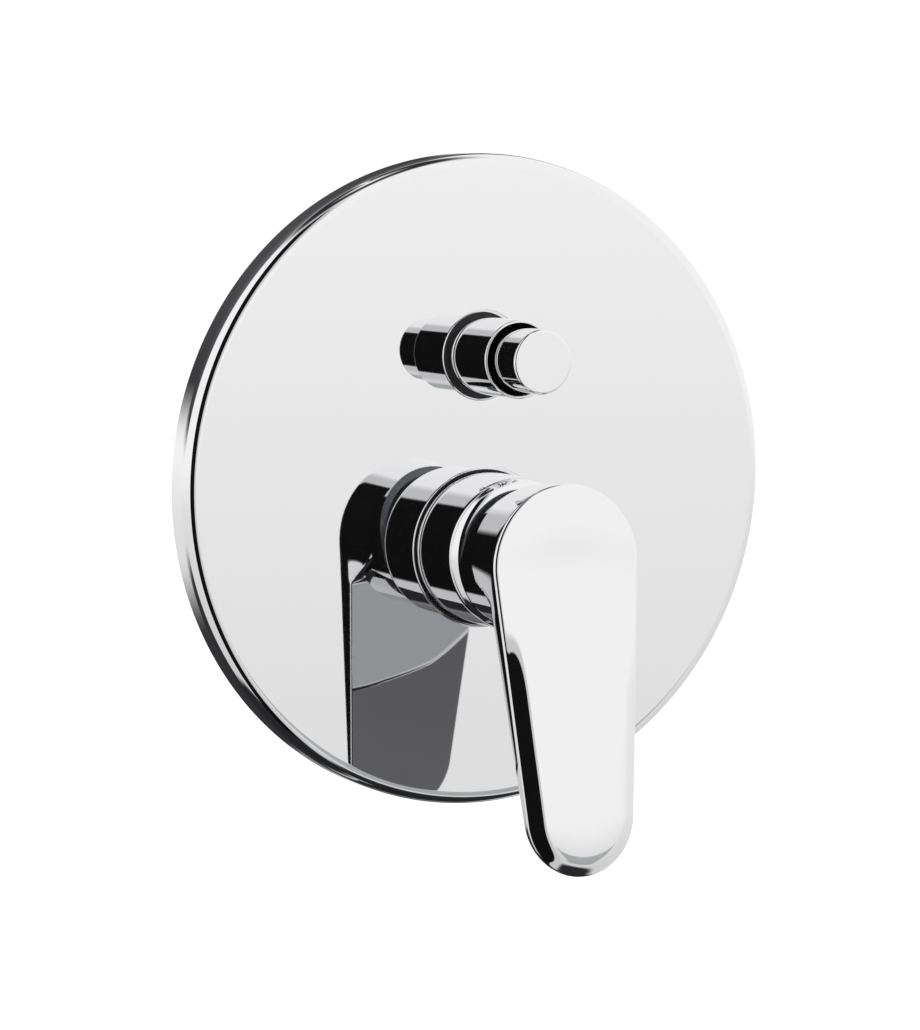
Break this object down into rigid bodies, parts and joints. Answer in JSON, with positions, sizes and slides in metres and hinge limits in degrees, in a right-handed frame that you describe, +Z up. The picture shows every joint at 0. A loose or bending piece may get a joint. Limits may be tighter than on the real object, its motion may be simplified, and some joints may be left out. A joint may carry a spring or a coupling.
{
  "type": "concealed shower mixer",
  "caption": "Concealed single-lever shower mixer: round cover plate, paddle lever on a sleeve, and a pull diverter in a sleeve above it.",
  "frame": {"origin": "where the lever's turning axis meets the finished wall", "axes": "+Z up, the cover plate faces -Y toward the user, the finished wall is the plane y = 0, +X to the user's right (cold inlet)"},
  "size_m": [0.18, 0.1245, 0.1914],
  "materials": {
    "chrome": "bright chrome plate",
    "cast_brass": "shot-blasted casting",
    "turned_brass": "turned",
    "steel": "machined stainless steel",
    "seal_rubber": "moulded",
    "gasket_foam": "closed-cell foam",
    "white_plastic": "moulded",
    "grey_plastic": "moulded",
    "ceramic": "lapped",
    "fibre": "pressed fibre",
    "index_colours": "moulded, half red and half blue"
  },
  "bodies": {
    "wall_body": {"valve_body": "cast_brass", "cartridge_base": "white_plastic", "base_seals": "seal_rubber", "fixed_disc": "ceramic", "cartridge_housing": "white_plastic", "cartridge_nut": "turned_brass", "neck_o_ring": "seal_rubber", "lever_sleeve": "chrome", "sleeve_hole_seal": "seal_rubber", "cover_plate": "chrome", "wall_gasket": "gasket_foam", "diverter_bonnet": "turned_brass", "bonnet_washer": "fibre", "stem_o_ring": "seal_rubber", "tube_o_ring": "seal_rubber", "diverter_sleeve": "chrome", "diverter_hole_seal": "seal_rubber"},
    "guide": {"stem_guide": "grey_plastic", "pivot_pin": "steel"},
    "lever": {"lever": "chrome", "cartridge_stem": "steel", "lever_grub_screw": "steel", "index_plug": "index_colours"},
    "carriage": {"disc_carrier": "grey_plastic", "moving_disc": "ceramic"},
    "diverter": {"diverter_knob": "chrome", "diverter_spindle": "turned_brass", "spindle_seals": "seal_rubber"}
  },
  "joints": [
    {"name": "temperature", "type": "hinge", "parent": "wall_body", "child": "guide", "pos_m": [0, 0, 0], "axis": [0, 1, 0], "range_deg": [-50, 50]},
    {"name": "flow", "type": "hinge", "parent": "guide", "child": "lever", "pos_m": [0, -0.018, 0], "axis": [-1, 0, 0], "range_deg": [0, 22]},
    {"name": "disc_slide", "type": "slide", "parent": "guide", "child": "carriage", "axis": [0, 0, -1], "range_m": [0, 0.0046]},
    {"name": "diverter_pull", "type": "slide", "parent": "wall_body", "child": "diverter", "axis": [0, -1, 0], "range_m": [0, 0.009]}
  ],
  "couplings": [
    {"joint": "disc_slide", "follows": "flow", "m_per_rad": 0.0118}
  ]
}
